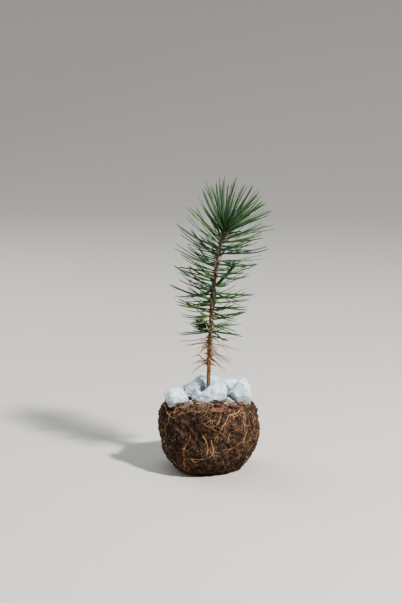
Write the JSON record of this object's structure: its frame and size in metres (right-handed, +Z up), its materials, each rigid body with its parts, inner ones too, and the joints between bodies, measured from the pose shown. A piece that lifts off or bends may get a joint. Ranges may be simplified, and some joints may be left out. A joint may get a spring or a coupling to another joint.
{
  "type": "pine seedling on its root ball",
  "caption": "Young pine with a slender leaning stem, long paired needles and a tuft at the tip, on a lumpy root ball topped with white stones and bark chips.",
  "frame": {"origin": "middle of the flat underside of the root ball", "axes": "+Z up along the stem, +X towards the side that the tip leans to, -Y the front"},
  "size_m": [0.1342, 0.1125, 0.3432],
  "materials": {
    "root_ball_soil": "moist crumbly soil, matt",
    "stem_bark": "thin scaly bark, matt",
    "needles": "waxy, half matt",
    "dry_needles": "dry, matt",
    "dead_wood": "dry, matt",
    "stones": "rough-broken, crystalline",
    "bark_chips": "fibrous, matt"
  },
  "bodies": {
    "root": {"root_ball": "root_ball_soil", "stem": "stem_bark", "top_tuft": "needles", "needle_tier_1": "needles", "needle_tier_2": "needles", "needle_tier_3": "needles", "needle_tier_4": "needles", "needle_tier_5": "needles", "needle_tier_6": "needles", "needle_tier_7": "needles", "dry_needles": "dry_needles", "shoot_right": "stem_bark", "shoot_right_tuft": "needles", "shoot_left": "stem_bark", "shoot_left_tuft": "needles", "shoot_back": "stem_bark", "shoot_back_tuft": "needles", "dead_twig": "dead_wood", "stone_back": "stones", "stone_front": "stones", "stone_tall": "stones", "stone_left": "stones", "stone_small": "stones", "stone_rear": "stones", "bark_chip_1": "bark_chips", "bark_chip_2": "bark_chips", "bark_chip_3": "bark_chips", "bark_chip_4": "bark_chips", "bark_chip_5": "bark_chips", "bark_chip_6": "bark_chips", "bark_chip_7": "bark_chips", "bark_chip_8": "bark_chips", "bark_chip_9": "bark_chips", "bark_chip_10": "bark_chips", "bark_chip_11": "bark_chips", "bark_chip_12": "bark_chips"}
  },
  "joints": []
}
